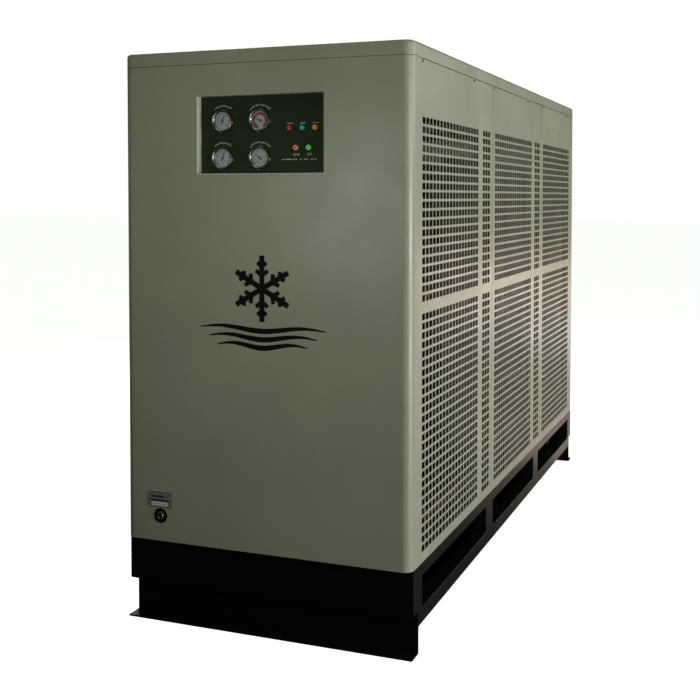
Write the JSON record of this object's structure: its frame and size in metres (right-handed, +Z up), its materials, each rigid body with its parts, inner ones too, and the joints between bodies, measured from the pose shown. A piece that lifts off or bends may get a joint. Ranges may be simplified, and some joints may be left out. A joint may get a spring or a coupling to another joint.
{
  "type": "refrigerated air dryer",
  "caption": "Refrigerated compressed-air dryer in a tall, long sheet-metal cabinet with perforated side panels, a recessed control panel and a black welded skid.",
  "frame": {"origin": "centre of the footprint on the floor: the middle of the bounding box, at the underside of the feet", "axes": "+Z up; the front with the control panel faces -Y; +X is right as seen from the front; the machine's length runs along Y"},
  "size_m": [0.975, 2.78, 1.822],
  "materials": {
    "skid_black": "satin",
    "frame_paint": "satin",
    "cabinet_paint": "fine textured satin powder coat",
    "black_screw": "satin",
    "control_plate": "smooth printed film",
    "chrome": "polished",
    "dial_face": "matte",
    "clear_glass": "clear",
    "pointer_black": "matte",
    "lens_red": "translucent gloss",
    "lens_green": "translucent gloss",
    "lens_amber": "translucent gloss",
    "button_orange": "gloss",
    "button_green": "gloss",
    "black_plastic": "moulded",
    "grey_plastic": "moulded",
    "label_metal": "printed satin",
    "black_rubber": "matte",
    "nickel_brass": "satin nickel",
    "blue_hose": "smooth",
    "compressor_paint": "gloss enamel",
    "drier_paint": "gloss enamel",
    "coil_aluminium": "fine fins",
    "galvanised": "zinc coated",
    "fan_black": "matte",
    "vessel_paint": "satin",
    "foam_insulation": "closed-cell foam",
    "copper": "satin copper tube",
    "brass": "satin",
    "lever_red": "vinyl coated"
  },
  "bodies": {
    "root": {"base_side_frames": "skid_black", "end_skirts": "skid_black", "end_feet": "skid_black", "base_cross_beams": "skid_black", "deck_plate": "skid_black", "cabinet_frame": "frame_paint", "front_panel": "cabinet_paint", "rear_panel": "cabinet_paint", "right_panel_front": "cabinet_paint", "right_panel_middle": "cabinet_paint", "right_panel_rear": "cabinet_paint", "left_panels": "cabinet_paint", "panel_webs": "cabinet_paint", "top_cover": "cabinet_paint", "control_recess": "cabinet_paint", "panel_screws": "black_screw", "control_plate": "control_plate", "gauge_cases": "chrome", "gauge_dials": "dial_face", "gauge_glasses": "clear_glass", "lamp_red": "lens_red", "lamp_green": "lens_green", "lamp_amber": "lens_amber", "pilot_bezels": "black_plastic", "switch_blocks": "black_plastic", "drain_timer_valve": "black_plastic", "cable_gland": "black_plastic", "label_plate": "label_metal", "drain_grommet": "black_rubber", "compressor_mounts": "black_rubber", "drain_outlet": "nickel_brass", "drain_tube": "blue_hose", "compressor": "compressor_paint", "liquid_receiver": "compressor_paint", "filter_drier": "drier_paint", "condenser_core": "coil_aluminium", "condenser_frame": "galvanised", "fan_shroud": "galvanised", "electrical_box": "galvanised", "electrical_cover": "galvanised", "fan_motors": "fan_black", "precooler_shell": "vessel_paint", "moisture_separator": "vessel_paint", "air_connections": "vessel_paint", "air_transfer_pipes": "vessel_paint", "evaporator_shell": "foam_insulation", "refrigerant_lines": "copper", "expansion_valve": "brass", "drain_ball_valve": "brass"},
    "pointer_evaporating": {"pointer_evaporating": "pointer_black"},
    "pointer_condensing": {"pointer_condensing": "pointer_black"},
    "pointer_air_pressure": {"pointer_air_pressure": "pointer_black"},
    "pointer_dew_point": {"pointer_dew_point": "pointer_black"},
    "stop_button": {"stop_button": "button_orange"},
    "start_button": {"start_button": "button_green"},
    "fan_rotor_upper": {"fan_rotor_upper": "fan_black"},
    "fan_rotor_lower": {"fan_rotor_lower": "fan_black"},
    "timer_knob_interval": {"timer_knob_interval": "grey_plastic"},
    "timer_knob_open": {"timer_knob_open": "grey_plastic"},
    "drain_valve_lever": {"drain_valve_lever": "lever_red"}
  },
  "joints": [
    {"name": "pointer_evaporating_turn", "type": "hinge", "parent": "root", "child": "pointer_evaporating", "pos_m": [-0.14, -1.3652, 1.6015], "axis": [0, 1, 0], "range_deg": [-150, 120]},
    {"name": "pointer_condensing_turn", "type": "hinge", "parent": "root", "child": "pointer_condensing", "pos_m": [-0.012, -1.3652, 1.6015], "axis": [0, 1, 0], "range_deg": [-72, 198]},
    {"name": "pointer_air_pressure_turn", "type": "hinge", "parent": "root", "child": "pointer_air_pressure", "pos_m": [-0.14, -1.3652, 1.487], "axis": [0, 1, 0], "range_deg": [-155, 115]},
    {"name": "pointer_dew_point_turn", "type": "hinge", "parent": "root", "child": "pointer_dew_point", "pos_m": [-0.012, -1.3652, 1.487], "axis": [0, 1, 0], "range_deg": [-78, 192]},
    {"name": "stop_button_press", "type": "slide", "parent": "root", "child": "stop_button", "axis": [0, 1, 0], "range_m": [0, 0.003], "stiffness_N_per_m": 300, "springref_m": -0.002},
    {"name": "start_button_press", "type": "slide", "parent": "root", "child": "start_button", "axis": [0, 1, 0], "range_m": [0, 0.003], "stiffness_N_per_m": 300, "springref_m": -0.002},
    {"name": "fan_rotor_upper_spin", "type": "hinge", "parent": "root", "child": "fan_rotor_upper", "pos_m": [0.265, 0.025, 1.24], "axis": [1, 0, 0], "continuous": true},
    {"name": "fan_rotor_lower_spin", "type": "hinge", "parent": "root", "child": "fan_rotor_lower", "pos_m": [0.265, 0.025, 0.68], "axis": [1, 0, 0], "continuous": true},
    {"name": "timer_knob_interval_turn", "type": "hinge", "parent": "root", "child": "timer_knob_interval", "pos_m": [0.235, 0.69, 0.425], "axis": [0, 0, 1], "range_deg": [-135, 135]},
    {"name": "timer_knob_open_turn", "type": "hinge", "parent": "root", "child": "timer_knob_open", "pos_m": [0.265, 0.69, 0.425], "axis": [0, 0, 1], "range_deg": [-135, 135]},
    {"name": "drain_valve_lever_turn", "type": "hinge", "parent": "root", "child": "drain_valve_lever", "pos_m": [0.25, 0.76, 0.375], "axis": [0, 0, 1], "range_deg": [0, 90]}
  ]
}
